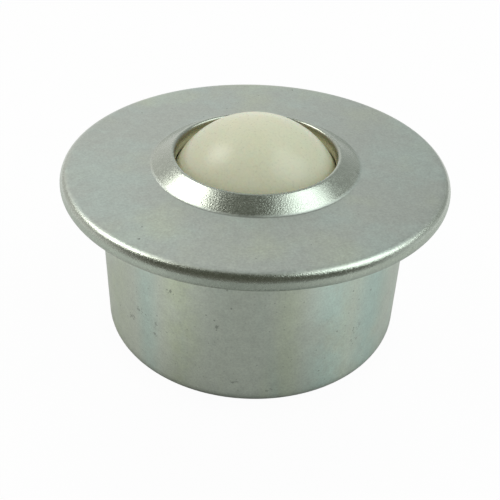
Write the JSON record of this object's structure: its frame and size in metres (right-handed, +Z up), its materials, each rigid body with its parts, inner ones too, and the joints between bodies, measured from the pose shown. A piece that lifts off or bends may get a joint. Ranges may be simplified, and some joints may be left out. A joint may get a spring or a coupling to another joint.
{
  "type": "ball transfer unit",
  "caption": "Flanged ball transfer unit: a nylon load ball turns freely on small bearing balls in a pressed, zinc-plated steel casing with a hemmed round cover.",
  "frame": {"origin": "centre of the casing's flat foot", "axes": "+Z up along the unit's axis, towards the load ball"},
  "size_m": [0.055, 0.055, 0.0327],
  "materials": {
    "zinc_sheet": "satin zinc plating on pressed sheet, faintly cloudy, with small dark specks",
    "hardened_cup": "hardened steel, smooth and dark grey",
    "plain_steel": "bare pressed steel",
    "bearing_steel": "ground and polished bearing steel",
    "nylon": "natural cream nylon with a soft sheen"
  },
  "bodies": {
    "housing": {"casing": "zinc_sheet", "ball_race": "hardened_cup", "retainer_ring": "plain_steel", "top_cover": "zinc_sheet"},
    "bearing_set": {"bearing_ball_01": "bearing_steel", "bearing_ball_02": "bearing_steel", "bearing_ball_03": "bearing_steel", "bearing_ball_04": "bearing_steel", "bearing_ball_05": "bearing_steel", "bearing_ball_06": "bearing_steel", "bearing_ball_07": "bearing_steel", "bearing_ball_08": "bearing_steel", "bearing_ball_09": "bearing_steel", "bearing_ball_10": "bearing_steel", "bearing_ball_11": "bearing_steel", "bearing_ball_12": "bearing_steel", "bearing_ball_13": "bearing_steel", "bearing_ball_14": "bearing_steel", "bearing_ball_15": "bearing_steel", "bearing_ball_16": "bearing_steel", "bearing_ball_17": "bearing_steel", "bearing_ball_18": "bearing_steel", "bearing_ball_19": "bearing_steel", "bearing_ball_20": "bearing_steel", "bearing_ball_21": "bearing_steel", "bearing_ball_22": "bearing_steel", "bearing_ball_23": "bearing_steel", "bearing_ball_24": "bearing_steel", "bearing_ball_25": "bearing_steel", "bearing_ball_26": "bearing_steel", "bearing_ball_27": "bearing_steel", "bearing_ball_28": "bearing_steel", "bearing_ball_29": "bearing_steel", "bearing_ball_30": "bearing_steel", "bearing_ball_31": "bearing_steel", "bearing_ball_32": "bearing_steel", "bearing_ball_33": "bearing_steel", "bearing_ball_34": "bearing_steel", "bearing_ball_35": "bearing_steel", "bearing_ball_36": "bearing_steel", "bearing_ball_37": "bearing_steel", "bearing_ball_38": "bearing_steel", "bearing_ball_39": "bearing_steel", "bearing_ball_40": "bearing_steel", "bearing_ball_41": "bearing_steel", "bearing_ball_42": "bearing_steel", "bearing_ball_43": "bearing_steel", "bearing_ball_44": "bearing_steel", "bearing_ball_45": "bearing_steel", "bearing_ball_46": "bearing_steel", "bearing_ball_47": "bearing_steel", "bearing_ball_48": "bearing_steel", "bearing_ball_49": "bearing_steel", "bearing_ball_50": "bearing_steel", "bearing_ball_51": "bearing_steel", "bearing_ball_52": "bearing_steel", "bearing_ball_53": "bearing_steel"},
    "load_ball": {"load_ball": "nylon"}
  },
  "joints": [
    {"name": "heading_turn", "type": "hinge", "parent": "housing", "child": "bearing_set", "pos_m": [0, 0, 0.0197], "axis": [0, 0, 1], "continuous": true},
    {"name": "ball_roll", "type": "hinge", "parent": "bearing_set", "child": "load_ball", "pos_m": [0, 0, 0.0197], "axis": [1, 0, 0], "continuous": true}
  ]
}
